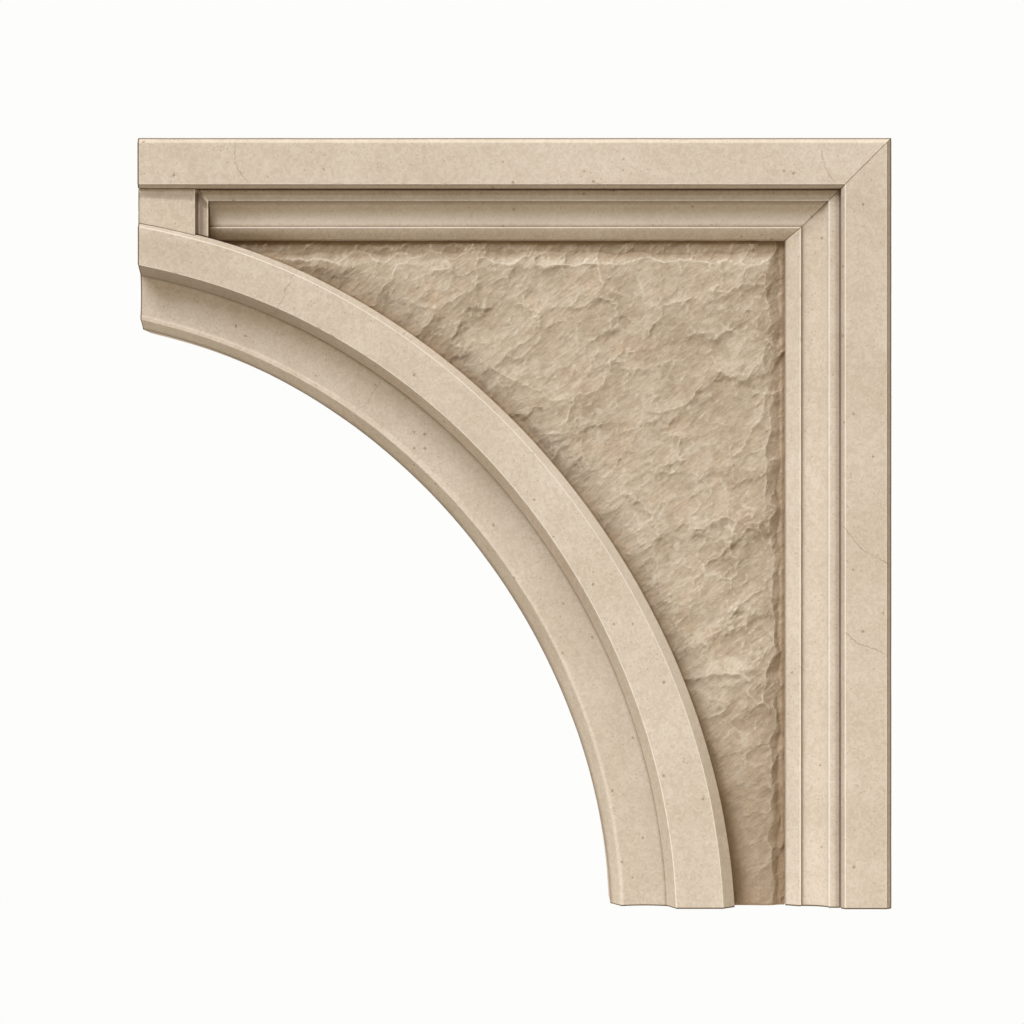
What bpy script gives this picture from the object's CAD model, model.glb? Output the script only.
"""Looks of the limestone spandrel panel: dressed mouldings and a pitched rock face.

Metres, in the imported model's frame: the face looks along -Y, and the back bed is the plane y = 0.
Depths are behind the frame's front face. Across a moulding, sizes run from its outer edge inward.
"""

import math

import bmesh
import bpy
import numpy as np
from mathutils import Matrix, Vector


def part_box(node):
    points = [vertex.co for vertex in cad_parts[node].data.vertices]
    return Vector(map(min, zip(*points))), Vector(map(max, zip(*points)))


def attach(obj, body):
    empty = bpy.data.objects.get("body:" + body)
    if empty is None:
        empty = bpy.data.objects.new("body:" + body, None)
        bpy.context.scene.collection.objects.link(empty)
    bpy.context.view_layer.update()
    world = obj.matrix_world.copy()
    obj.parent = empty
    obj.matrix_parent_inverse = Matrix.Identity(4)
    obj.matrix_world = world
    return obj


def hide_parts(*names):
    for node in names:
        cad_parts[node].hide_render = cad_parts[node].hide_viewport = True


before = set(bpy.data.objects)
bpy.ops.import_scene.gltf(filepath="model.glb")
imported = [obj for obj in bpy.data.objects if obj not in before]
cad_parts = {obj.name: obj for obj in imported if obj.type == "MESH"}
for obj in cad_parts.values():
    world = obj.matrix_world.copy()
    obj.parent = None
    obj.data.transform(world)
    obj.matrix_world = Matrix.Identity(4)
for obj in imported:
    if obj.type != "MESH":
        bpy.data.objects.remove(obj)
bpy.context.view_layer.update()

# Places and outer sizes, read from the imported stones
RAIL_LOW, RAIL_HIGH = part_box("head_rail")
STILE_LOW, STILE_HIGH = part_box("side_stile")
LEFT, TOP = RAIL_LOW[0], RAIL_HIGH[2]
RIGHT, BASE = STILE_HIGH[0], STILE_LOW[2]
THICKNESS = -RAIL_LOW[1]

# The arch: its centre stands left of the panel's end and below its base
SOFFIT_RADIUS = 0.620
KEY_OFFSET = 0.148
SPRINGING_DROP = 0.020
ARCH_X = LEFT - KEY_OFFSET
ARCH_Z = BASE - SPRINGING_DROP

# The rib's members, outward from the soffit
LIP_RADIUS = SOFFIT_RADIUS + 0.0135
HOLLOW_RADIUS = LIP_RADIUS + 0.0035
CREASE_RADIUS = HOLLOW_RADIUS + 0.039
FASCIA_RADIUS = CREASE_RADIUS + 0.0085
OUTER_RADIUS = FASCIA_RADIUS + 0.0475
OUTER_DROP = 0.0125
EXTRADOS_RADIUS = OUTER_RADIUS + 0.0155
EXTRADOS_DROP = 0.021
EXTRADOS_TOP = 0.740
RIB_FASCIA_DEPTH = 0.003
RIB_CREASE_DEPTH = 0.028
RIB_HOLLOW_SAG = 0.005
LIP_DEPTH = 0.0285
SOFFIT_DEPTH = 0.054

# The rib's first and last angle from its springing, and how far it turns, in radians
RIB_START = 0.029
RIB_END = 1.355
RIB_TURN = 1.33

# The built arch strays a little from true circles: outward shifts in mm at angles from its springing
ARCH_ANGLES = (3, 12, 23, 34, 46, 58, 68, 74, 77)
ARCH_SHIFTS = {
    "soffit": (2.8, 1.3, -0.8, -1.3, -0.3, 1.3, 2.2, 1.3, 0.0),
    "lip": (-1.0, -1.5, -1.7, -2.2, -2.0, -1.3, -2.3, -4.0, -4.9),
    "fascia": (2.7, 1.9, 0.4, 0.2, 1.5, 1.7, 0.0, -2.2, -3.6),
    "outer": (3.2, 3.0, 0.1, -0.9, 0.5, 2.3, 2.4, 0.3, -1.6),
    "extrados": (0.5, -0.4, -2.2, -2.8, -1.5, 0.5, 0.8, -2.0, -4.2),
}

# The frame's members, shared by the rail and the stile
EDGE_CHAMFER = 0.0055
FASCIA_END = EDGE_CHAMFER + 0.0413
BEVEL_END = FASCIA_END + 0.0039
BEVEL_DEPTH = 0.005
FILLET_END = BEVEL_END + 0.0118
FILLET_DEPTH = 0.0125
QUIRK = 0.0015
COVE_WIDTH = 0.0255
COVE_END = FILLET_END + COVE_WIDTH
COVE_DEPTH = 0.0165
BEAD_END = COVE_END + 0.001
BEAD_DEPTH = FILLET_DEPTH + COVE_DEPTH - 0.0035
FRAME_WIDTH = BEAD_END + 0.0153
RAIL_WIDTH = FRAME_WIDTH - 0.0039
OVOLO_END_DEPTH = BEAD_DEPTH + 0.0105
OVOLO_SWELL = 0.0012

# Wear down the frame's coves, at millimetres from the fillet
RAIL_COVE_WEAR = ((0, -0.75), (1, -0.6), (3, -0.4), (5, 0), (7, 0.2), (11, 0.45), (22, 0.5), (25, 0.4))
STILE_COVE_WEAR = ((0, 0.3), (3, 0.2), (8, 0), (20, 0), (22, -0.15), (23.5, -0.35), (25, -0.5))

# The crown block
FACE_END_X = LEFT + 0.0568
QUIRK_X = LEFT + 0.0595
RETURN_X = QUIRK_X + 0.0105
BLOCK_DEPTH = 0.008

# The rough field: its edges and grid, then the depths of its face, its margins and its lowest points
FIELD_RIGHT = RIGHT - FRAME_WIDTH
FIELD_TOP = TOP - RAIL_WIDTH
FIELD_GRID = 0.00125
FACE_DEPTH = 0.0375
RAIL_MARGIN_DEPTH = 0.0425
STILE_MARGIN_DEPTH = 0.0455
RIB_MARGIN_DEPTH = 0.0380
DEEPEST = 0.0485

# Its flake scars and chips, as (height, length, width, slant, tip, seed), and the slant of its streaks
LARGE_SCARS = (0.0076, 0.080, 0.060, 0.40, 0.30, 1)
MEDIUM_SCARS = (0.0031, 0.037, 0.027, 0.70, 0.35, 20)
SMALL_SCARS = (0.0009, 0.0155, 0.0110, 1.00, 0.35, 40)
FINE_SCARS = (0.00035, 0.0070, 0.0045, 0.60, 0.3, 50)
CHIPS = (0.0035, 0.024, 0.014, math.radians(60), 0.3, 80)
STREAK_SLANT = 0.7

# Dressed surfaces: how finely they are drawn, and the roundness of ends and back edges
STATION = 0.0022
GUARD = 0.0008
END_ARRIS = 0.0018
MITRE_ARRIS = 0.0005
BACK_ARRIS = 0.0015
ARC_STEPS = 4

# Hand-dressed unevenness: long waves, short waves, and nicks in the arrises
LONG_WAVE = 0.00016
SHORT_WAVE = 0.00005
NICK_DEPTH = 0.0022

# Colours of the stones
RAIL_TINT = (0.73, 0.63, 0.52)
STILE_TINT = (0.70, 0.60, 0.49)
BLOCK_TINT = (0.705, 0.605, 0.49)
RIB_TINT = (0.72, 0.62, 0.51)
FIELD_TINT = (0.652, 0.545, 0.432)

# Colours of marks and wear on the dressed stones
FRECKLE = (0.36, 0.26, 0.16, 1)
PIT = (0.33, 0.23, 0.13, 1)
CRACK = (0.30, 0.21, 0.14, 1)
WORN = (0.95, 0.88, 0.78, 1)
DIRT = (0.16, 0.11, 0.07, 1)

# Colours of marks and wear on the rough field
FIELD_SEAM = (0.84, 0.75, 0.62, 1)
FIELD_RIDGE = (0.86, 0.77, 0.64, 1)
FIELD_HOLLOW = (0.24, 0.17, 0.11, 1)
FIELD_DIRT = (0.28, 0.187, 0.108, 1)

# Lamps, as (name, strength, width in degrees, colour, where it stands from the panel)
LAMPS = (
    ("key", 3.63, 32, (0.866, 0.926, 1.0), (-0.32, -0.61, 0.72)),
    ("back", 1.4, 50, (1.0, 0.96, 0.90), (-0.35, 0.90, 0.08)),
)

# The room: its light from straight below and straight above, and the pale ground that the camera sees
ROOM_COLOUR = (1.0, 0.78, 0.445, 1)
ROOM_BELOW = 0.12
ROOM_ABOVE = 0.46
GROUND_COLOUR = (0.982, 0.982, 0.965, 1)

# The floor's sheet
FLOOR_COLOUR = (0.85, 0.85, 0.84, 1)
FLOOR_HALF_WIDTH = 1.5
FLOOR_FRONT = -2.2
FLOOR_BACK = 0.8
FLOOR_HEIGHT = -1.2

# The camera, square on and far off
LENS = 123.05
CAMERA_PLACE = (-0.0027, -3.62, 0.01135)


def chance(i, j, seed):
    """A repeatable random share for each cell of a lattice."""
    value = np.sin(i * 127.1 + j * 311.7 + seed * 74.7) * 43758.5453
    return value - np.floor(value)


def ripple(u, v, seed):
    """Smooth gradient noise with cells one unit wide, from about -0.7 to 0.7."""
    i, j = np.floor(u), np.floor(v)
    f, g = u - i, v - j
    fade_f = f * f * f * (f * (6 * f - 15) + 10)
    fade_g = g * g * g * (g * (6 * g - 15) + 10)
    total = 0
    for di in (0, 1):
        for dj in (0, 1):
            turn = 2 * math.pi * chance(i + di, j + dj, seed)
            slope = np.cos(turn) * (f - di) + np.sin(turn) * (g - dj)
            weight_f = fade_f if di else 1 - fade_f
            weight_g = fade_g if dj else 1 - fade_g
            total = total + slope * weight_f * weight_g
    return total


def rise(low, high, value):
    """0 below low, 1 above high and an even slope between, eased at both ends."""
    share = np.clip((value - low) / (high - low), 0, 1)
    return share * share * (3 - 2 * share)


def hollow_arc(start, end, sag, steps):
    """Points from start to end on a parabola whose middle stands sag off the chord."""
    points = []
    for step in range(steps + 1):
        share = step / steps
        bow = 4 * sag * share * (1 - share)
        across = start[0] + (end[0] - start[0]) * share
        points.append((across, start[1] + (end[1] - start[1]) * share + bow))
    return points


def cove_arc(steps):
    """The frame's cove, a quarter of an ellipse, as (distance from the outer edge, depth)."""
    points = []
    for step in range(1, steps + 1):
        turn = math.pi / 2 * step / steps
        across = FILLET_END + COVE_WIDTH * (1 - math.cos(turn))
        points.append((across, FILLET_DEPTH + COVE_DEPTH * math.sin(turn)))
    return points


class Outline:
    """A closed section drawn corner by corner, with the stone on the left as it is walked."""

    def __init__(self):
        self.corners, self.radii, self.spans = [], [], []
        self.tones, self.flat_tones = [], []

    def add(self, across, depth, radius=0.0, spans=1, tone=None, flat=(0, 0)):
        """The flat after the corner has that many spans, and tones evenly spaced along it.

        A tone is 1 where worn pale and -1 where dirty.
        """
        self.corners.append((across, depth))
        self.radii.append(radius)
        self.spans.append(spans)
        self.tones.append(tone)
        self.flat_tones.append(flat)

    def curve(self, points, tones):
        for (across, depth), tone in zip(points, tones):
            self.add(across, depth, tone=tone)

    def eased(self):
        """Points with their outward normals, tones, arris shares, and how far an end may shrink."""
        corners = np.array(self.corners)
        count = len(corners)
        ahead = np.roll(corners, -1, axis=0) - corners
        lengths = np.linalg.norm(ahead, axis=1)
        ahead = ahead / lengths[:, None]
        outward = np.column_stack([ahead[:, 1], -ahead[:, 0]])
        turns, setbacks = [], []
        for k in range(count):
            cross = ahead[k - 1][0] * ahead[k][1] - ahead[k - 1][1] * ahead[k][0]
            turn = math.atan2(cross, float(ahead[k - 1] @ ahead[k]))
            turns.append(turn)
            setbacks.append(self.radii[k] * math.tan(abs(turn) / 2))
        rows = []
        for k in range(count):
            side = 1 if turns[k] > 0 else -1
            radius = self.radii[k]
            tone = side if self.tones[k] is None else self.tones[k]
            if radius:
                start = corners[k] - setbacks[k] * ahead[k - 1]
                centre = start - side * radius * outward[k - 1]
                give = 0.8 * radius if side > 0 else END_ARRIS
                for step in range(ARC_STEPS + 1):
                    share = step / ARC_STEPS
                    mixed = outward[k - 1] * (1 - share) + outward[k] * share
                    mixed = mixed / np.linalg.norm(mixed)
                    point = centre + side * radius * mixed
                    fade = math.sin(math.pi * (0.22 + 0.56 * share))
                    rows.append((*point, *mixed, tone * fade, max(0, side) * fade, min(give, END_ARRIS)))
            else:
                mixed = outward[k - 1] + outward[k]
                mixed = mixed / np.linalg.norm(mixed)
                rows.append((*corners[k], *mixed, self.tones[k] or 0, 0, END_ARRIS))
            if self.spans[k] > 1:
                first = setbacks[k] + GUARD
                last = lengths[k] - setbacks[(k + 1) % count] - GUARD
                marks = np.linspace(0, 1, len(self.flat_tones[k]))
                for part in range(self.spans[k] + 1):
                    share = part / self.spans[k]
                    point = corners[k] + (first + (last - first) * share) * ahead[k]
                    tone = np.interp(share, marks, self.flat_tones[k])
                    rows.append((*point, *outward[k], tone, 0, END_ARRIS))
        rows = np.array(rows)
        return rows[:, :2], rows[:, 2:4], rows[:, 4], rows[:, 5], rows[:, 6]


def end_steps(low_arris, high_arris, gaps):
    """Stations of a path as (share, offset from the nearer end, inset, arris); its ends are rounded.

    The inset is a share of the end's arris, 1 at the end itself.
    """
    turns = [math.pi / 2 * step / ARC_STEPS for step in range(ARC_STEPS + 1)]
    steps = [(0, low_arris * (1 - math.cos(turn)), 1 - math.sin(turn), low_arris) for turn in turns]
    for gap in range(gaps + 1):
        arris = low_arris if gap < gaps / 2 else high_arris
        steps.append((gap / gaps, arris + GUARD, 0, arris))
    for turn in reversed(turns):
        steps.append((1, high_arris * (1 - math.cos(turn)), 1 - math.sin(turn), high_arris))
    return steps


def loft(outline, run, place, seed, gaps, scale=1.0, end_arrises=(END_ARRIS, END_ARRIS)):
    """Carries an outline along a path and rounds off its ends.

    outline(share) gives the section at that share of the path, run(points) where each point starts
    and ends on the path, and place(points, along) their places. scale is one path unit's length.
    """
    shells, tints, ends = [], [], []
    for share, offset, inset, arris_size in end_steps(*end_arrises, gaps):
        points, normals, tones, arris, give = outline(share)
        around = np.concatenate([[0], np.cumsum(np.linalg.norm(np.diff(points, axis=0), axis=1))])
        starts, finishes = run(points)
        length = (starts + (finishes - starts) * share) * scale
        uneven = LONG_WAVE * (0.7 + ripple(length / 0.050, around / 0.033, seed))
        uneven = uneven + SHORT_WAVE * (0.7 + ripple(length / 0.011, around / 0.009, seed + 1))
        nick = np.maximum(0, ripple(length / 0.0075, around / 0.03, seed + 2) - 0.33)
        nick = nick + 2 * np.maximum(0, ripple(length / 0.021, around / 0.05, seed + 3) - 0.52)
        rounding = inset * give * arris_size / END_ARRIS
        worn = (1 - inset) * (uneven + NICK_DEPTH * arris * nick) + rounding
        points = points - normals * worn[:, None]
        starts, finishes = run(points)
        inner_starts = starts + offset / scale
        along = inner_starts + (finishes - offset / scale - inner_starts) * share
        shells.append(place(points, along))
        # A pale line runs where an end starts to round off
        pale = 0.5 if inset == 0 and offset == arris_size else 0
        tints.append(tones * (1 - 1.5 * nick * arris) + pale)
        ends.append(np.full(len(points), float(inset)))
    return np.array(shells), np.array(tints), np.array(ends)


class Shape:
    """Gathers shells of points into one closed mesh with its wear written on its faces."""

    def __init__(self):
        self.points, self.faces, self.flat = [], [], []
        self.tints, self.ends = [], []

    def add_loft(self, shells, tints, ends):
        first = len(self.points)
        count, around = shells.shape[:2]
        self.points.extend(shells.reshape(-1, 3).tolist())
        self.tints.extend(tints.reshape(-1).tolist())
        self.ends.extend(ends.reshape(-1).tolist())
        for ring in range(count - 1):
            low = first + ring * around
            for step in range(around):
                following = (step + 1) % around
                self.faces.append((low + step, low + following,
                                   low + around + following, low + around + step))
                self.flat.append(False)
        last = first + (count - 1) * around
        self.faces.append(tuple(range(first, first + around)))
        self.faces.append(tuple(range(last + around - 1, last - 1, -1)))
        self.flat.extend([True, True])

    def finish(self, name, node, material):
        mesh = bpy.data.meshes.new(name)
        mesh.from_pydata(self.points, [], self.faces)
        # The flat face at each end is clean, so wear is written on the corners of the other faces
        for title, values in (("tone", self.tints), ("joint", self.ends)):
            worn = []
            for face, flat in zip(self.faces, self.flat):
                worn.extend(0.0 if flat else values[point] for point in face)
            layer = mesh.attributes.new(title, "FLOAT", "CORNER")
            layer.data.foreach_set("value", worn)
        whole = bmesh.new()
        whole.from_mesh(mesh)
        bmesh.ops.recalc_face_normals(whole, faces=whole.faces)
        whole.to_mesh(mesh)
        whole.free()
        mesh.set_sharp_from_angle(angle=math.radians(40))
        mesh.polygons.foreach_set("use_smooth", [not flat for flat in self.flat])
        mesh.materials.append(material)
        made = bpy.data.objects.new(name, mesh)
        bpy.context.scene.collection.objects.link(made)
        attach(made, "root")
        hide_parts(node)
        return made


def fascia_corners(outline, chamfer, arris_tone, bevel):
    """The frame's outer members, from the back edge to the bevel, with the tones of its slopes."""
    outline.add(0, THICKNESS, BACK_ARRIS, 12, tone=0)
    outline.add(0, EDGE_CHAMFER, 0.0015, 6, tone=-1.4, flat=chamfer)
    outline.add(EDGE_CHAMFER, 0, 0.0008, 16, tone=arris_tone)
    outline.add(FASCIA_END, 0, 0.0006, 4, tone=1, flat=bevel)


def moulding_corners(outline, fillet, fillet_arris, cove_wear, bead_radius):
    """The frame's inner members, from the fillet to the back edge beside the rough field."""
    outline.add(BEVEL_END + QUIRK, FILLET_DEPTH, 0.0004, 6, tone=fillet[0], flat=fillet)
    outline.add(FILLET_END, FILLET_DEPTH, fillet_arris[0], tone=fillet_arris[1])
    cove = cove_arc(14)[:-1]
    places, tones = zip(*cove_wear)
    outline.curve(cove, [np.interp(1000 * (across - FILLET_END), places, tones) for across, _ in cove])
    outline.add(COVE_END, FILLET_DEPTH + COVE_DEPTH, 0.0003)
    outline.add(BEAD_END, BEAD_DEPTH, bead_radius)
    ovolo = hollow_arc((BEAD_END, BEAD_DEPTH), (FRAME_WIDTH, OVOLO_END_DEPTH), -OVOLO_SWELL, 8)
    outline.curve(ovolo[1:-1], [0] * 7)
    outline.add(FRAME_WIDTH, OVOLO_END_DEPTH, 0.0005, 8, tone=-1)
    outline.add(FRAME_WIDTH, THICKNESS, BACK_ARRIS, 8, tone=0)


def gap_count(length):
    return max(4, round(length / STATION))


def rail_drop(across):
    """How far below the top a member lies: the rail's inner members are narrower than the stile's."""
    narrowing = [0, 0.0010, 0.0010, FRAME_WIDTH - RAIL_WIDTH]
    return across - np.interp(across, [FILLET_END, COVE_END, BEAD_END, FRAME_WIDTH], narrowing)


def rail_points(points, along):
    return np.column_stack([along, points[:, 1] - THICKNESS, TOP - rail_drop(points[:, 0])])


def stile_points(points, along):
    return np.column_stack([RIGHT - points[:, 0], points[:, 1] - THICKNESS, along])


def block_points(points, along):
    return np.column_stack([points[:, 0], points[:, 1] - THICKNESS, along])


def rib_points(points, along):
    radius = points[:, 0]
    x = ARCH_X + radius * np.cos(along)
    z = ARCH_Z + radius * np.sin(along)
    return np.column_stack([x, points[:, 1] - THICKNESS, z])


def mitre_end(across):
    return RIGHT - across


def make_head_rail(material):
    """The fascia runs over the crown block; the inner members start at the block's return."""
    upper, lower = Outline(), Outline()
    fascia_corners(upper, (-1, 0.1, 0.3, 0.35, 0.1), 0.2, (-0.48, -0.4, -0.34, -0.3))
    upper.add(BEVEL_END, BEVEL_DEPTH, 0.0007, 8, tone=-0.9, flat=(-0.8, -0.6))
    upper.add(BEVEL_END, THICKNESS, BACK_ARRIS, 6, tone=0)
    buried = BEVEL_END - 0.002
    lower.add(buried, THICKNESS, 0, 1)
    lower.add(buried, FILLET_DEPTH + QUIRK)
    lower.add(BEVEL_END, FILLET_DEPTH + QUIRK, tone=-1)
    moulding_corners(lower, (0, 0, -0.2, -0.45, -0.5), (0.0006, 0.15), RAIL_COVE_WEAR, 0.0006)

    def upper_run(points):
        across = points[:, 0]
        return np.full(len(across), LEFT), mitre_end(across)

    def lower_run(points):
        across = points[:, 0]
        share = np.clip((across - BEVEL_END) / (FILLET_END - BEVEL_END), 0, 1)
        fillet_start = QUIRK_X + (RETURN_X - QUIRK_X) * share
        moulding_start = np.where(across > FILLET_END, RETURN_X, fillet_start)
        rib_side = extrados_side(TOP - rail_drop(across))
        starts = np.where(across > COVE_END, np.maximum(moulding_start, rib_side), moulding_start)
        return starts, mitre_end(across)

    shape = Shape()
    gaps = gap_count(RIGHT - LEFT)
    sections = upper.eased(), lower.eased()
    arrises = END_ARRIS, MITRE_ARRIS
    shape.add_loft(*loft(lambda share: sections[0], upper_run, rail_points, 11, gaps, 1, arrises))
    arrises = MITRE_ARRIS, MITRE_ARRIS
    shape.add_loft(*loft(lambda share: sections[1], lower_run, rail_points, 21, gaps, 1, arrises))
    return shape.finish("head_rail_stone", "head_rail", material)


def make_side_stile(material):
    outline = Outline()
    fascia_corners(outline, (-0.9, -0.25, -0.2, -0.35, -0.4), 1, (0, -0.3, -0.5, -0.35, -0.4))
    outline.add(BEVEL_END, BEVEL_DEPTH, 0.0007, 2, tone=-0.8, flat=(-0.9, -0.9))
    outline.add(BEVEL_END, FILLET_DEPTH + QUIRK, 0.0002)
    fillet = -0.44, -0.44, -0.2, 0.15, 0.25, 0.3
    moulding_corners(outline, fillet, (0.0010, 1), STILE_COVE_WEAR, 0.0010)
    section = outline.eased()

    def run(points):
        return np.full(len(points), BASE), TOP - rail_drop(points[:, 0])

    shape = Shape()
    gaps = gap_count(TOP - BASE)
    arrises = END_ARRIS, MITRE_ARRIS
    shape.add_loft(*loft(lambda share: section, run, stile_points, 31, gaps, 1, arrises))
    return shape.finish("side_stile_stone", "side_stile", material)


def make_crown_block(material):
    """The block's section is drawn in plan and runs from the rib up to the rail."""
    outline = Outline()
    outline.add(LEFT, THICKNESS, BACK_ARRIS, 12, tone=0)
    outline.add(LEFT, BLOCK_DEPTH, 0.0012, 18, tone=-1)
    outline.add(FACE_END_X, BLOCK_DEPTH, 0.0007, 2, flat=(-0.6, -0.8))
    outline.add(QUIRK_X, FILLET_DEPTH + QUIRK, 0.0002)
    fillet = -1, -1, -0.82, -0.65, -0.53, -0.44, -0.37
    outline.add(QUIRK_X + QUIRK, FILLET_DEPTH, 0.0004, 7, tone=-1, flat=fillet)
    outline.add(RETURN_X, FILLET_DEPTH, 0.0007, 8, flat=(-0.9, -0.9))
    outline.add(RETURN_X, THICKNESS, BACK_ARRIS, 8, tone=0)
    points, normals, tones, arris, give = outline.eased()

    def section(share):
        """A band of dirt crosses the block a little under the rail."""
        dirt = 0.46 * rise(0.71, 0.80, share) * rise(0.95, 0.89, share)
        return points, normals, tones - dirt + 0.4 * rise(0.92, 0.96, share), arris, give

    def run(points):
        """From the rib's outer curve or its chamfer, whichever lies lower, up to the rail."""
        x, depth = points[:, 0], points[:, 1]
        offset = x - ARCH_X
        cylinder = np.sqrt(EXTRADOS_RADIUS ** 2 - offset ** 2) - EXTRADOS_DROP
        cone_radius = OUTER_RADIUS + depth - RIB_FASCIA_DEPTH
        cone = np.sqrt(cone_radius ** 2 - offset ** 2) - OUTER_DROP
        foot = np.minimum(cylinder, cone)
        theta = np.arctan2(foot, offset)
        foot = foot + arch_shift("extrados", theta) / np.sin(theta)
        return ARCH_Z + foot, TOP - BEVEL_END - np.maximum(0, x - QUIRK_X)

    shape = Shape()
    arrises = END_ARRIS, MITRE_ARRIS
    shape.add_loft(*loft(section, run, block_points, 41, 24, 1, arrises))
    return shape.finish("crown_block_stone", "crown_block", material)


def arch_shift(member, theta):
    """How far outward a member of the arch strays from its circle at an angle."""
    nudges = (-4, -2, 0, 2, 4)
    total = 0
    for nudge in nudges:
        total = total + np.interp(np.degrees(theta) + nudge, ARCH_ANGLES, ARCH_SHIFTS[member])
    return total / (1000 * len(nudges))


def circle_reach(radius, drop, theta):
    """How far out along theta from the arch's centre a circle with a dropped centre lies."""
    return np.sqrt(radius ** 2 - (drop * np.cos(theta)) ** 2) - drop * np.sin(theta)


def extrados_side(z):
    """Where the rib's outer curve lies at a height, which is held just below the curve's top."""
    height = np.minimum(EXTRADOS_TOP, z - ARCH_Z + EXTRADOS_DROP)
    x = ARCH_X + np.sqrt(EXTRADOS_RADIUS ** 2 - height ** 2)
    theta = np.arctan2(z - ARCH_Z, x - ARCH_X)
    return x + arch_shift("extrados", theta) / np.cos(theta)


def rib_section(share):
    """The rib's section; its fascia and chamfer widen from the crown to the foot."""
    theta = RIB_START + (RIB_END - RIB_START) * share
    outer = circle_reach(OUTER_RADIUS, OUTER_DROP, theta)
    back = circle_reach(EXTRADOS_RADIUS, EXTRADOS_DROP, theta)
    to_edge = math.hypot(back * math.cos(theta), back * math.sin(theta) + OUTER_DROP)
    chamfer_depth = to_edge - OUTER_RADIUS + RIB_FASCIA_DEPTH
    soffit = SOFFIT_RADIUS + arch_shift("soffit", theta)
    lip_shift, fascia_shift = arch_shift("lip", theta), arch_shift("fascia", theta)
    lip = (HOLLOW_RADIUS + lip_shift, LIP_DEPTH)
    crease = (CREASE_RADIUS + fascia_shift, RIB_CREASE_DEPTH)
    outline = Outline()
    outline.add(soffit, THICKNESS, BACK_ARRIS, 8, tone=0)
    outline.add(soffit, SOFFIT_DEPTH, 0.0014, 8, tone=-1, flat=(-0.7, -0.2, 0, 0.1, 0.2))
    lip_tone = 0.3 - 0.45 * float(rise(0.65, 1.0, share))
    outline.add(LIP_RADIUS + lip_shift, LIP_DEPTH, 0.0007, 2, tone=lip_tone, flat=(lip_tone, lip_tone))
    outline.add(*lip, 0.0005, tone=lip_tone)
    # Dirt gathers high in the hollow, and low in it near the crown
    low = 0.08 + 0.33 * float(rise(0.35, 0.9, share))
    high = 0.37 * (1 - float(rise(0.57, 0.8, share)))
    steps = [(step + 1) / 14 for step in range(13)]
    dirt = [low * (1 - step) + high * step + 0.24 * step * (1 - step) for step in steps]
    outline.curve(hollow_arc(lip, crease, RIB_HOLLOW_SAG, 14)[1:-1], [-tone for tone in dirt])
    splay_tone = -0.12 - 0.42 * float(rise(0.57, 0.9, share))
    outline.add(*crease, 0.0004, 6, flat=(splay_tone, splay_tone))
    fascia_dirt = -0.24 * float(rise(0.8, 1.0, share)) - 0.16 * float(rise(0.4, 0.05, share))
    fascia = 0, fascia_dirt, fascia_dirt, fascia_dirt, 0
    outline.add(FASCIA_RADIUS + fascia_shift, RIB_FASCIA_DEPTH, 0.0008, 16, flat=fascia)
    chamfer_tone = 0.2 + 0.22 * float(rise(0.05, 0.25, share)) - 0.65 * float(rise(0.4, 0.85, share))
    chamfer = chamfer_tone, chamfer_tone
    outline.add(outer + arch_shift("outer", theta), RIB_FASCIA_DEPTH, 0.0008, 5, flat=chamfer)
    back = back + arch_shift("extrados", theta)
    outline.add(back, chamfer_depth, 0.0009, 12, tone=-1, flat=(-0.9, -0.6))
    outline.add(back, THICKNESS, BACK_ARRIS, 12, tone=0)
    return outline.eased()


def make_arch_rib(material):
    """Its path is an angle from the springing, and its ends are the base and the panel's left end."""
    def run(points):
        radius = points[:, 0]
        return np.arcsin(SPRINGING_DROP / radius), np.arccos(KEY_OFFSET / radius)

    shape = Shape()
    gaps = gap_count(RIB_TURN * OUTER_RADIUS)
    shape.add_loft(*loft(rib_section, run, rib_points, 51, gaps, OUTER_RADIUS))
    return shape.finish("arch_rib_stone", "arch_rib", material)


def slanted(x, z, slant):
    """How far a point lies along a slant and across it."""
    return x * math.cos(slant) + z * math.sin(slant), z * math.cos(slant) - x * math.sin(slant)


def scars(x, z, kind):
    """Height of the lowest of many bowls: flake scars with sharp ridges between them.

    kind is (height, length, width, slant, tip, seed). tip leans each bowl so that it is deepest
    near its upper end.
    """
    height, length, width, slant, tip, seed = kind
    along, across = slanted(x, z, slant)
    along, across = along / length, across / width
    u = along + 0.45 * ripple(1.7 * along, 1.7 * across, seed + 1)
    v = across + 0.45 * ripple(1.7 * along, 1.7 * across, seed + 2)
    u = u + 0.13 * ripple(6 * along, 6 * across, seed + 8)
    v = v + 0.13 * ripple(6 * along, 6 * across, seed + 9)
    i, j = np.floor(u), np.floor(v)
    lowest = np.full(np.shape(u), 9.0)
    for di in range(-2, 3):
        for dj in range(-2, 3):
            ci, cj = i + di, j + dj
            du = u - ci - chance(ci, cj, seed + 3)
            dv = v - cj - chance(ci, cj, seed + 4)
            lean = 0.6 * (chance(ci, cj, seed + 5) - 0.5) * du
            dip = (0.6 * (chance(ci, cj, seed + 6) - 0.5) - tip) * dv
            reach = du * du + dv * dv
            bowl = (0.4 + 0.6 * reach) * reach
            lowest = np.minimum(lowest, 0.5 * chance(ci, cj, seed + 7) + lean + dip + bowl)
    return height * lowest


def edge_distances(x, z):
    """How far a point of the field is from the rib, from the stile and from the rail."""
    theta = np.arctan2(z - ARCH_Z, x - ARCH_X)
    to_rib = np.hypot(x - ARCH_X, z - ARCH_Z + EXTRADOS_DROP) - EXTRADOS_RADIUS
    return to_rib - arch_shift("extrados", theta), FIELD_RIGHT - x, FIELD_TOP - z


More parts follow.
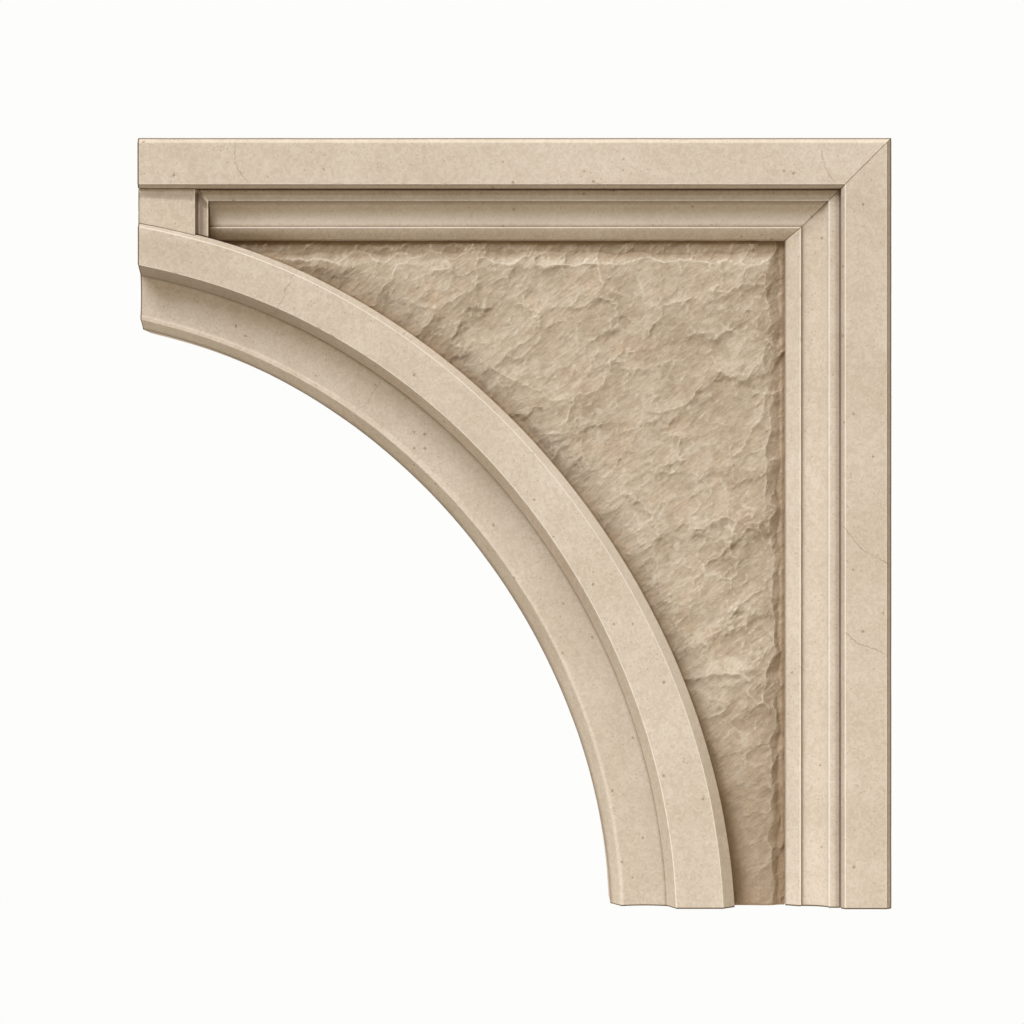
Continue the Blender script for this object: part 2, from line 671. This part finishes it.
def rock_depth(x, z):
    """Depth of the pitched face: flake scars, with a chipped margin sunk along the field's edges."""
    small, fine = scars(x, z, SMALL_SCARS), scars(x, z, FINE_SCARS)
    swell = 0.003 * ripple(x / 0.15, z / 0.15, 60)
    face = FACE_DEPTH - scars(x, z, LARGE_SCARS) - scars(x, z, MEDIUM_SCARS) - small - fine + swell
    to_rib, to_stile, to_rail = edge_distances(x, z)
    wander = 0.006 * ripple(x / 0.024, z / 0.024, 70)
    at_rail = RAIL_MARGIN_DEPTH - 0.8 * np.maximum(0, to_rail - 0.012 + wander)
    at_stile = STILE_MARGIN_DEPTH - 0.8 * np.maximum(0, to_stile - 0.006 + wander)
    at_rib = RIB_MARGIN_DEPTH - 0.35 * np.maximum(0, to_rib - 0.004 + wander)
    near = np.maximum(np.maximum(at_rail, at_stile), at_rib) - scars(x, z, CHIPS) - small - fine
    edge = np.minimum(to_rib, np.minimum(to_stile, to_rail))
    fall = 0.003 * rise(0.032, 0.006, edge) + 0.003 * rise(BASE + 0.14, BASE, z)
    rough = np.maximum(face + fall, np.minimum(near, DEEPEST))
    streak_u, streak_v = slanted(x, z, STREAK_SLANT)
    bands = ripple(x / 0.030, z / 0.030, 92)
    streaks = 0.00035 * ripple(streak_u / 0.014, streak_v / 0.0038, 90) * (0.6 + bands)
    return rough + streaks + 0.00010 * ripple(x / 0.0029, z / 0.0029, 95)


def blurred(values, passes):
    """A grid of values, smoothed by its neighbours."""
    for _ in range(passes):
        padded = np.pad(values, 1, mode="edge")
        values = (padded[1:-1, :-2] + padded[1:-1, 2:] + padded[:-2, 1:-1] + padded[2:, 1:-1]
                  + 2 * values) / 6
    return values


def field_grid():
    """A grid of points over the field, as x, z and whether the rib covers them."""
    left = float(extrados_side(FIELD_TOP)) - 3 * FIELD_GRID
    columns = round((FIELD_RIGHT - left) / FIELD_GRID) + 1
    rows = round((FIELD_TOP - BASE) / FIELD_GRID) + 1
    x, z = np.meshgrid(np.linspace(left, FIELD_RIGHT, columns), np.linspace(BASE, FIELD_TOP, rows))
    centre_z = ARCH_Z - EXTRADOS_DROP
    reach = np.hypot(x - ARCH_X, z - centre_z)
    radius = EXTRADOS_RADIUS + arch_shift("extrados", np.arctan2(z - ARCH_Z, x - ARCH_X))
    covered = reach < radius
    # Points just inside the rib's curve move out onto it, so that the edge follows the arc
    pulled = np.where(covered, radius / reach, 1)
    x = ARCH_X + (x - ARCH_X) * pulled
    z = np.maximum(BASE, centre_z + (z - centre_z) * pulled)
    return x, z, covered


def grid_faces(covered):
    """The grid's squares that show at least in part, by the numbers of their points."""
    numbers = np.arange(covered.size).reshape(covered.shape)
    corners = np.stack([numbers[:-1, :-1], numbers[:-1, 1:], numbers[1:, 1:], numbers[1:, :-1]], -1)
    hidden = covered[:-1, :-1] & covered[1:, :-1] & covered[:-1, 1:] & covered[1:, 1:]
    return corners[~hidden]


def field_grime(x, z, depth):
    """Dirt in the hollows, beside the other stones and toward the foot, darkest along the edges."""
    to_rib, to_stile, to_rail = edge_distances(x, z)
    grime = 1.05 * rise(0.020, 0.015, to_rail) + 0.9 * rise(0.016, 0.006, to_stile)
    beside_rib = 0.7 * rise(0.024, 0.008, to_rib) + 0.8 * rise(0.012, 0.004, to_rib)
    grime = grime + beside_rib * rise(0, 0.03, to_rail) + 1.5 * rise(BASE + 0.26, BASE, z)
    to_edge = np.minimum(np.minimum(to_rib, to_stile), np.minimum(to_rail, z - BASE + 0.0007))
    contact = rise(0.0042, 0.0017, to_edge)
    sunk = np.maximum(0, depth - blurred(depth, 60))
    return np.maximum(grime + 40 * sunk, 2.6 * contact)


def close_slab(mesh):
    """Gives the field's front its sides and a flat back, whose new points are clean."""
    slab = bmesh.new()
    slab.from_mesh(mesh)
    # Each point of the front's open edge, with the point that follows it
    ahead = {}
    for edge in slab.edges:
        if edge.is_boundary:
            corner = edge.link_loops[0]
            ahead[corner.vert] = corner.link_loop_next.vert
    rim = [next(iter(ahead))]
    while ahead[rim[-1]] != rim[0]:
        rim.append(ahead[rim[-1]])
    back = [slab.verts.new((point.co.x, 0, point.co.z)) for point in rim]
    for k in range(len(rim)):
        slab.faces.new((rim[k], rim[k - 1], back[k - 1], back[k]))
    slab.faces.new(back[::-1])
    for face in slab.faces:
        face.smooth = True
    bmesh.ops.recalc_face_normals(slab, faces=slab.faces)
    slab.to_mesh(mesh)
    slab.free()


def make_infill_panel(material):
    """A slab whose front is a fine grid of the rock's depths, trimmed to the rib's outer curve."""
    x, z, covered = field_grid()
    depth = rock_depth(x, z)
    points = np.column_stack([x.ravel(), depth.ravel() - THICKNESS, z.ravel()])
    used, faces = np.unique(grid_faces(covered), return_inverse=True)
    mesh = bpy.data.meshes.new("infill_panel_stone")
    mesh.from_pydata(points[used].tolist(), [], faces.reshape(-1, 4).tolist())
    ridge = blurred(depth, 2) - depth
    tones = {"tone": np.clip(ridge / 0.00020, -1, 1), "grime": field_grime(x, z, depth)}
    for title, values in tones.items():
        layer = mesh.attributes.new(title, "FLOAT", "POINT")
        layer.data.foreach_set("value", values.ravel()[used])
    close_slab(mesh)
    mesh.set_sharp_from_angle(angle=math.radians(22))
    mesh.materials.append(material)
    made = bpy.data.objects.new("infill_panel_stone", mesh)
    bpy.context.scene.collection.objects.link(made)
    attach(made, "root")
    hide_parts("infill_panel")
    return made


class Graph:
    """Short ways to add and link shader nodes."""

    def __init__(self, material):
        material.use_nodes = True
        self.tree = material.node_tree
        self.shader = self.tree.nodes["Principled BSDF"]
        self.place = self.tree.nodes.new("ShaderNodeTexCoord").outputs["Object"]

    def link(self, value, socket):
        if isinstance(value, bpy.types.NodeSocket):
            self.tree.links.new(value, socket)
        else:
            socket.default_value = value

    def maths(self, operation, *values):
        node = self.tree.nodes.new("ShaderNodeMath")
        node.operation = operation
        for socket, value in zip(node.inputs, values):
            self.link(value, socket)
        return node.outputs[0]

    def vector(self, operation, *values):
        node = self.tree.nodes.new("ShaderNodeVectorMath")
        node.operation = operation
        for socket, value in zip(node.inputs, values):
            self.link(value, socket)
        return node

    def noise(self, scale, detail, place=None, roughness=0.5, distortion=0.0):
        node = self.tree.nodes.new("ShaderNodeTexNoise")
        node.inputs["Scale"].default_value = scale
        node.inputs["Detail"].default_value = detail
        node.inputs["Roughness"].default_value = roughness
        node.inputs["Distortion"].default_value = distortion
        self.link(place or self.place, node.inputs["Vector"])
        return node.outputs["Fac"]

    def spread(self, value, low, high, to_low=0.0, to_high=1.0):
        node = self.tree.nodes.new("ShaderNodeMapRange")
        node.interpolation_type = "SMOOTHSTEP"
        self.link(value, node.inputs["Value"])
        for name, number in (("From Min", low), ("From Max", high),
                             ("To Min", to_low), ("To Max", to_high)):
            self.link(number, node.inputs[name])
        return node.outputs["Result"]

    def mix(self, share, first, second, blend="MIX"):
        node = self.tree.nodes.new("ShaderNodeMix")
        node.data_type = "RGBA"
        node.blend_type = blend
        # This node keeps its colours at inputs 6 and 7, and its mixed colour at output 2
        self.link(share, node.inputs[0])
        self.link(first, node.inputs[6])
        self.link(second, node.inputs[7])
        return node.outputs[2]

    def attribute(self, name):
        node = self.tree.nodes.new("ShaderNodeAttribute")
        node.attribute_name = name
        return node.outputs["Fac"]

    def pits(self, scale, size, share):
        """Scattered dots: one cell in so many has a small round pit."""
        cells = self.tree.nodes.new("ShaderNodeTexVoronoi")
        cells.inputs["Scale"].default_value = scale
        ragged = self.tree.nodes.new("ShaderNodeTexNoise")
        ragged.inputs["Scale"].default_value = 6 * scale
        self.link(self.place, ragged.inputs["Vector"])
        pushed = self.vector("SCALE", ragged.outputs["Color"]).outputs[0]
        pushed.node.inputs["Scale"].default_value = 0.35 / scale
        self.link(self.vector("ADD", self.place, pushed).outputs[0], cells.inputs["Vector"])
        chosen = self.maths("LESS_THAN", self.separate(cells.outputs["Color"]), share)
        dot = self.spread(cells.outputs["Distance"], 0.5 * size, size, 1, 0)
        return self.maths("MULTIPLY", chosen, dot)

    def plates(self, length, height, turn):
        """A chance value for each ragged plate of the face, and thin seams between some of them."""
        ragged = self.tree.nodes.new("ShaderNodeTexNoise")
        ragged.inputs["Scale"].default_value = 3 / length
        self.link(self.place, ragged.inputs["Vector"])
        pushed = self.vector("SCALE", ragged.outputs["Color"]).outputs[0]
        pushed.node.inputs["Scale"].default_value = 0.3 * length
        moved = self.vector("ADD", self.place, pushed).outputs[0]
        turned = self.tree.nodes.new("ShaderNodeMapping")
        turned.vector_type = "TEXTURE"
        turned.inputs["Rotation"].default_value = (0, math.radians(-turn), 0)
        turned.inputs["Scale"].default_value = (length, 10 * length, height)
        self.link(moved, turned.inputs["Vector"])
        cells, borders = (self.tree.nodes.new("ShaderNodeTexVoronoi") for _ in range(2))
        borders.feature = "DISTANCE_TO_EDGE"
        for node in (cells, borders):
            node.inputs["Scale"].default_value = 1
            self.link(turned.outputs[0], node.inputs["Vector"])
        worn = self.spread(self.noise(45, 3), 0.48, 0.6)
        seam = self.maths("MULTIPLY", self.spread(borders.outputs[0], 0.01, 0.05, 1, 0), worn)
        return self.separate(cells.outputs["Color"]), seam

    def separate(self, colour):
        node = self.tree.nodes.new("ShaderNodeSeparateColor")
        self.link(colour, node.inputs[0])
        return node.outputs[0]

    def bump(self, height, strength, distance):
        node = self.tree.nodes.new("ShaderNodeBump")
        node.inputs["Strength"].default_value = strength
        node.inputs["Distance"].default_value = distance
        self.link(height, node.inputs["Height"])
        self.tree.links.new(node.outputs["Normal"], self.shader.inputs["Normal"])


def segment_distance():
    """A node group: how far a point is from the straight line between two others."""
    group = bpy.data.node_groups.new("segment_distance", "ShaderNodeTree")
    for title in ("Point", "Start", "Run"):
        group.interface.new_socket(title, in_out="INPUT", socket_type="NodeSocketVector")
    group.interface.new_socket("Distance", in_out="OUTPUT", socket_type="NodeSocketFloat")
    given = group.nodes.new("NodeGroupInput")
    taken = group.nodes.new("NodeGroupOutput")
    links = group.links

    def vector(operation, *values):
        node = group.nodes.new("ShaderNodeVectorMath")
        node.operation = operation
        for socket, value in zip(node.inputs, values):
            links.new(value, socket)
        return node

    offset = vector("SUBTRACT", given.outputs["Point"], given.outputs["Start"]).outputs[0]
    forward = vector("DOT_PRODUCT", offset, given.outputs["Run"]).outputs["Value"]
    square = vector("DOT_PRODUCT", given.outputs["Run"], given.outputs["Run"]).outputs["Value"]
    share = group.nodes.new("ShaderNodeMath")
    share.operation = "DIVIDE"
    share.use_clamp = True
    links.new(forward, share.inputs[0])
    links.new(square, share.inputs[1])
    foot = group.nodes.new("ShaderNodeVectorMath")
    foot.operation = "SCALE"
    links.new(given.outputs["Run"], foot.inputs[0])
    links.new(share.outputs[0], foot.inputs["Scale"])
    miss = vector("SUBTRACT", offset, foot.outputs[0]).outputs[0]
    links.new(vector("LENGTH", miss).outputs["Value"], taken.inputs["Distance"])
    return group


def crack_mask(graph, cracks):
    """1 along wandering hairlines through (x, z) points, 0 away from them."""
    wander = graph.tree.nodes.new("ShaderNodeTexNoise")
    wander.inputs["Scale"].default_value = 260
    graph.link(graph.place, wander.inputs["Vector"])
    centred = graph.vector("SUBTRACT", wander.outputs["Color"], (0.5, 0.5, 0.5)).outputs[0]
    drift = graph.vector("MULTIPLY", centred, (0.0045, 0, 0.0045)).outputs[0]
    flat = graph.vector("MULTIPLY", graph.place, (1, 0, 1)).outputs[0]
    point = graph.vector("ADD", flat, drift).outputs[0]
    nearest = None
    for crack in cracks:
        for (x0, z0), (x1, z1) in zip(crack, crack[1:]):
            node = graph.tree.nodes.new("ShaderNodeGroup")
            node.node_tree = SEGMENT
            graph.link(point, node.inputs["Point"])
            node.inputs["Start"].default_value = (x0, 0, z0)
            node.inputs["Run"].default_value = (x1 - x0, 0, z1 - z0)
            gap = node.outputs[0]
            nearest = gap if nearest is None else graph.maths("MINIMUM", nearest, gap)
    return graph.spread(nearest, 0.0002, 0.0009, 1, 0)


def limestone(name, tint, cracks=()):
    """Fine-rubbed limestone: soft mottling, grain, brown pits, pale arrises and dark creases."""
    material = bpy.data.materials.new(name)
    graph = Graph(material)
    cloud = graph.spread(graph.noise(9, 5, roughness=0.6), 0.32, 0.68)
    colour = graph.mix(cloud, (0.95 * tint[0], 0.94 * tint[1], 0.925 * tint[2], 1),
                       (1.04 * tint[0], 1.045 * tint[1], 1.055 * tint[2], 1))
    leather = graph.spread(graph.noise(150, 6, roughness=0.62, distortion=1.5), 0.36, 0.64)
    colour = graph.mix(leather, colour, (0.885, 0.86, 0.83, 1), "MULTIPLY")
    speckle = graph.spread(graph.noise(560, 4, roughness=0.7), 0.35, 0.7)
    colour = graph.mix(speckle, colour, (0.92, 0.905, 0.89, 1), "MULTIPLY")
    freckles = graph.pits(300, 0.30, 0.09)
    colour = graph.mix(graph.maths("MULTIPLY", freckles, 0.6), colour, FRECKLE)
    pits = graph.pits(100, 0.20, 0.12)
    colour = graph.mix(graph.maths("MULTIPLY", pits, 0.72), colour, PIT)
    tone = graph.attribute("tone")
    colour = graph.mix(graph.spread(tone, 0.05, 1.0, 0, 0.75), colour, WORN)
    colour = graph.mix(graph.spread(tone, -1.0, 0.0, 0.78, 0), colour, DIRT)
    edge = graph.spread(graph.attribute("joint"), 0.0, 0.06, 0, 0.95)
    colour = graph.mix(edge, colour, DIRT)
    relief = graph.noise(420, 6, roughness=0.6)
    if cracks:
        crack = crack_mask(graph, cracks)
        strength = graph.spread(graph.noise(120, 2), 0.35, 0.62, 0.12, 0.52)
        colour = graph.mix(graph.maths("MULTIPLY", crack, strength), colour, CRACK)
        relief = graph.maths("SUBTRACT", relief, crack)
    graph.link(colour, graph.shader.inputs["Base Color"])
    graph.shader.inputs["Roughness"].default_value = 0.88
    graph.shader.inputs["Specular IOR Level"].default_value = 0.2
    graph.bump(relief, 0.35, 0.0003)
    return material


def pitched_limestone(name, tint):
    """Rock-faced limestone: browner, with pale ridges and dirt in the hollows."""
    material = bpy.data.materials.new(name)
    graph = Graph(material)
    cloud = graph.spread(graph.noise(14, 5), 0.3, 0.7)
    colour = graph.mix(cloud, (0.93 * tint[0], 0.92 * tint[1], 0.90 * tint[2], 1),
                       (1.05 * tint[0], 1.06 * tint[1], 1.07 * tint[2], 1))
    patch = graph.spread(graph.noise(110, 6, roughness=0.65, distortion=1), 0.35, 0.65)
    colour = graph.mix(patch, colour, (0.89, 0.87, 0.84, 1), "MULTIPLY")
    turned = graph.tree.nodes.new("ShaderNodeMapping")
    turned.vector_type = "TEXTURE"
    turned.inputs["Rotation"].default_value = (0, math.radians(-36), 0)
    turned.inputs["Scale"].default_value = (0.010, 0.004, 0.0021)
    graph.link(graph.place, turned.inputs["Vector"])
    scratch = graph.noise(1, 4, turned.outputs[0], 0.6, 0.8)
    colour = graph.mix(graph.spread(scratch, 0.4, 0.62), colour, (0.87, 0.85, 0.82, 1), "MULTIPLY")
    rusty = graph.spread(graph.noise(32, 3), 0.5, 0.66)
    colour = graph.mix(rusty, colour, (1.0, 0.978, 0.952, 1), "MULTIPLY")
    plates, seams = graph.plates(0.046, 0.030, 30)
    flakes, flake_seams = graph.plates(0.017, 0.011, 20)
    colour = graph.mix(plates, colour, (0.885, 0.868, 0.845, 1), "MULTIPLY")
    colour = graph.mix(flakes, colour, (0.90, 0.885, 0.862, 1), "MULTIPLY")
    seams = graph.maths("MAXIMUM", seams, graph.maths("MULTIPLY", flake_seams, 0.5))
    colour = graph.mix(graph.maths("MULTIPLY", seams, 0.3), colour, FIELD_SEAM)
    tone = graph.attribute("tone")
    colour = graph.mix(graph.spread(tone, 0.1, 1.0, 0, 0.42), colour, FIELD_RIDGE)
    colour = graph.mix(graph.spread(tone, -1.0, -0.1, 0.35, 0), colour, FIELD_HOLLOW)
    dirt = graph.maths("MINIMUM", graph.maths("MULTIPLY", graph.attribute("grime"), 0.36), 0.9)
    colour = graph.mix(dirt, colour, FIELD_DIRT)
    graph.link(colour, graph.shader.inputs["Base Color"])
    graph.shader.inputs["Roughness"].default_value = 0.95
    graph.shader.inputs["Specular IOR Level"].default_value = 0.15
    grain = graph.noise(420, 8, roughness=0.65)
    steps = graph.maths("MULTIPLY_ADD", plates, 2.2, graph.maths("MULTIPLY", flakes, 1.1))
    relief = graph.maths("MULTIPLY_ADD", scratch, 1.5, graph.maths("ADD", grain, steps))
    graph.bump(relief, 0.7, 0.0006)
    return material


def make_floor():
    material = bpy.data.materials.new("floor_paper")
    material.use_nodes = True
    shader = material.node_tree.nodes["Principled BSDF"]
    shader.inputs["Base Color"].default_value = FLOOR_COLOUR
    shader.inputs["Roughness"].default_value = 0.9
    plan = ((-FLOOR_HALF_WIDTH, FLOOR_FRONT), (FLOOR_HALF_WIDTH, FLOOR_FRONT),
            (FLOOR_HALF_WIDTH, FLOOR_BACK), (-FLOOR_HALF_WIDTH, FLOOR_BACK))
    mesh = bpy.data.meshes.new("floor")
    mesh.from_pydata([(x, y, FLOOR_HEIGHT) for x, y in plan], [], [(0, 1, 2, 3)])
    mesh.materials.append(material)
    floor = bpy.data.objects.new("floor", mesh)
    bpy.context.scene.collection.objects.link(floor)


def make_lamps():
    """A large soft lamp high on the left and a weak one on the back."""
    for name, strength, width, colour, toward in LAMPS:
        light = bpy.data.lights.new(name, "SUN")
        light.energy = strength
        light.angle = math.radians(width)
        light.color = colour
        lamp = bpy.data.objects.new(name, light)
        lamp.rotation_euler = Vector(toward).to_track_quat("Z", "Y").to_euler()
        lamp.location = 3 * Vector(toward)
        bpy.context.scene.collection.objects.link(lamp)


def make_room():
    """Even warm light, a little stronger from above, and a plain pale ground behind the panel."""
    world = bpy.data.worlds.new("room")
    world.use_nodes = True
    nodes, links = world.node_tree.nodes, world.node_tree.links
    room = nodes["Background"]
    room.inputs["Color"].default_value = ROOM_COLOUR
    way = nodes.new("ShaderNodeTexCoord")
    height = nodes.new("ShaderNodeSeparateXYZ")
    lift = nodes.new("ShaderNodeMapRange")
    lift.inputs["From Min"].default_value = -1.0
    lift.inputs["To Min"].default_value = ROOM_BELOW
    lift.inputs["To Max"].default_value = ROOM_ABOVE
    links.new(way.outputs["Generated"], height.inputs[0])
    links.new(height.outputs["Z"], lift.inputs["Value"])
    links.new(lift.outputs["Result"], room.inputs["Strength"])
    ground = nodes.new("ShaderNodeBackground")
    ground.inputs["Color"].default_value = GROUND_COLOUR
    paths = nodes.new("ShaderNodeLightPath")
    both = nodes.new("ShaderNodeMixShader")
    links.new(paths.outputs["Is Camera Ray"], both.inputs[0])
    links.new(room.outputs[0], both.inputs[1])
    links.new(ground.outputs[0], both.inputs[2])
    links.new(both.outputs[0], nodes["World Output"].inputs["Surface"])
    bpy.context.scene.world = world


def make_camera():
    lens = bpy.data.cameras.new("camera")
    lens.lens = LENS
    lens.sensor_width = 36
    lens.clip_start = 0.05
    camera = bpy.data.objects.new("camera", lens)
    camera.location = CAMERA_PLACE
    camera.rotation_euler = (math.pi / 2, 0, 0)
    bpy.context.scene.collection.objects.link(camera)
    bpy.context.scene.camera = camera


# Cracks that the stones show, as points (x, z)
RAIL_CRACKS = (
    ((-0.2797, 0.3799), (-0.2797, 0.3594), (-0.2712, 0.3464), (-0.2667, 0.3414)),
    ((0.3073, 0.3714), (0.3083, 0.3634), (0.3133, 0.3504), (0.3193, 0.3424)),
)
STILE_CRACKS = (
    ((0.3283, -0.0027), (0.3373, -0.0137), (0.3463, -0.0257), (0.3593, -0.0327), (0.3740, -0.0407)),
    ((0.3313, -0.1092), (0.3433, -0.1207), (0.3593, -0.1257), (0.3740, -0.1322)),
    ((0.2835, -0.1420), (0.2915, -0.1475)),
)
RIB_CRACKS = (
    ((-0.2157, 0.2544), (-0.2217, 0.2489), (-0.2257, 0.2394), (-0.2297, 0.2334), (-0.2301, 0.2278),
     (-0.2367, 0.2164), (-0.2407, 0.2100)),
    ((-0.1349, 0.1425), (-0.1440, 0.1315), (-0.1480, 0.1210), (-0.1595, 0.1140)),
)

SEGMENT = segment_distance()
bpy.context.scene.view_settings.view_transform = "Standard"
bpy.context.scene.view_settings.look = "None"
make_head_rail(limestone("rail_limestone", RAIL_TINT, RAIL_CRACKS))
make_side_stile(limestone("stile_limestone", STILE_TINT, STILE_CRACKS))
make_crown_block(limestone("block_limestone", BLOCK_TINT))
make_arch_rib(limestone("rib_limestone", RIB_TINT, RIB_CRACKS))
make_infill_panel(pitched_limestone("field_limestone", FIELD_TINT))
make_floor()
make_lamps()
make_room()
make_camera()
